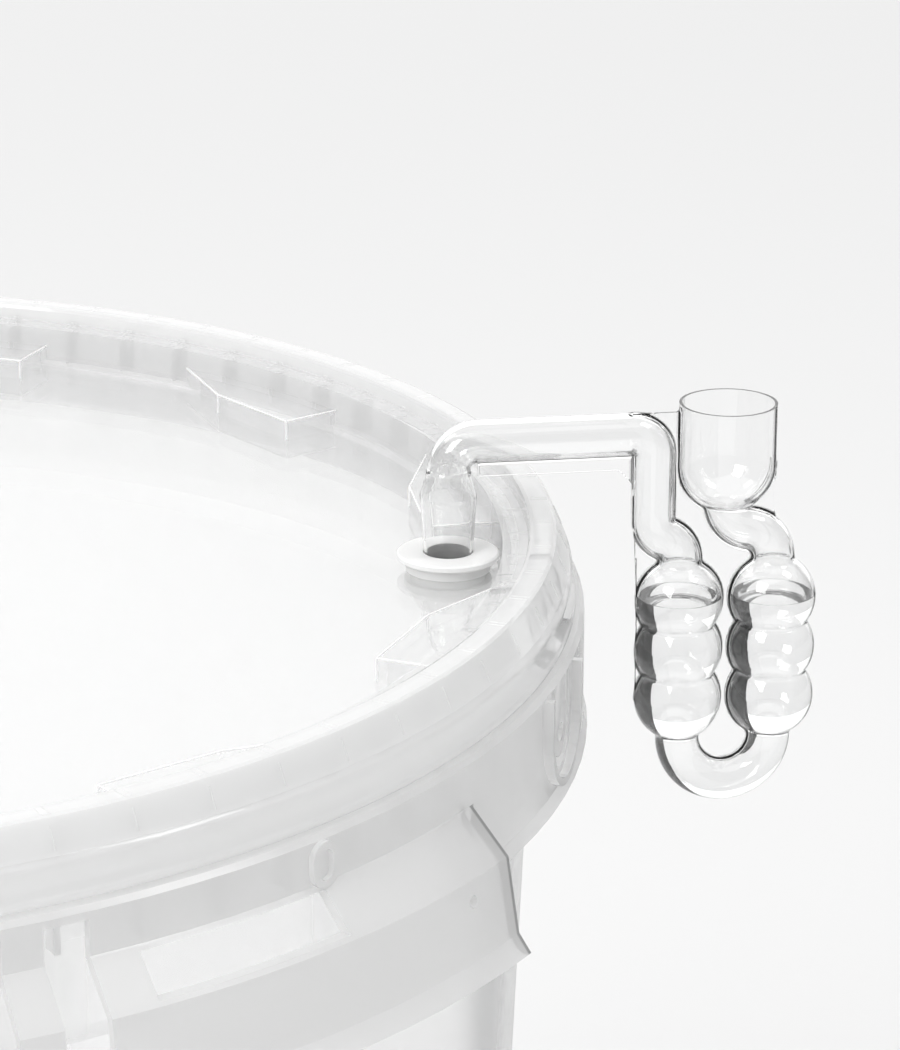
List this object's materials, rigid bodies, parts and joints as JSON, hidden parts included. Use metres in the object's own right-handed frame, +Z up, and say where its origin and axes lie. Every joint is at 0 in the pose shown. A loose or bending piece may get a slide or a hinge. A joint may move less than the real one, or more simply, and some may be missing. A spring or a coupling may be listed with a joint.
{
  "type": "fermenting bucket with airlock",
  "caption": "Round plastic fermenting bucket with a push-on lid, moulded carrying grips, a rubber grommet and a clear bubble airlock whose columns hang outside the rim.",
  "frame": {"origin": "centre of the bucket's base, on the surface that it stands on", "axes": "+Z up along the bucket's axis, -Y through the middle of the front carrying grip"},
  "size_m": [0.4108, 0.4038, 0.4111],
  "materials": {
    "bucket_plastic": "satin, milky and slightly see-through",
    "lid_plastic": "glossy panel, milky and slightly see-through",
    "grommet_rubber": "matt white",
    "clear_plastic": "clear, glossy",
    "water": "clear liquid"
  },
  "bodies": {
    "bucket_body": {"bucket": "bucket_plastic"},
    "lid_body": {"lid": "lid_plastic", "tear_band": "lid_plastic"},
    "grommet_body": {"grommet": "grommet_rubber"},
    "airlock_body": {"airlock": "clear_plastic", "lock_water": "water"}
  },
  "joints": [
    {"name": "lid_lift", "type": "slide", "parent": "bucket_body", "child": "lid_body", "axis": [0, 0, 1], "range_m": [0, 0.15]},
    {"name": "airlock_swivel", "type": "hinge", "parent": "lid_body", "child": "grommet_body", "pos_m": [0.14592, -0.06804, 0.3814], "axis": [0, 0, 1], "range_deg": [-40, 30]},
    {"name": "airlock_pull", "type": "slide", "parent": "grommet_body", "child": "airlock_body", "axis": [0, 0, 1], "range_m": [0, 0.06]}
  ]
}
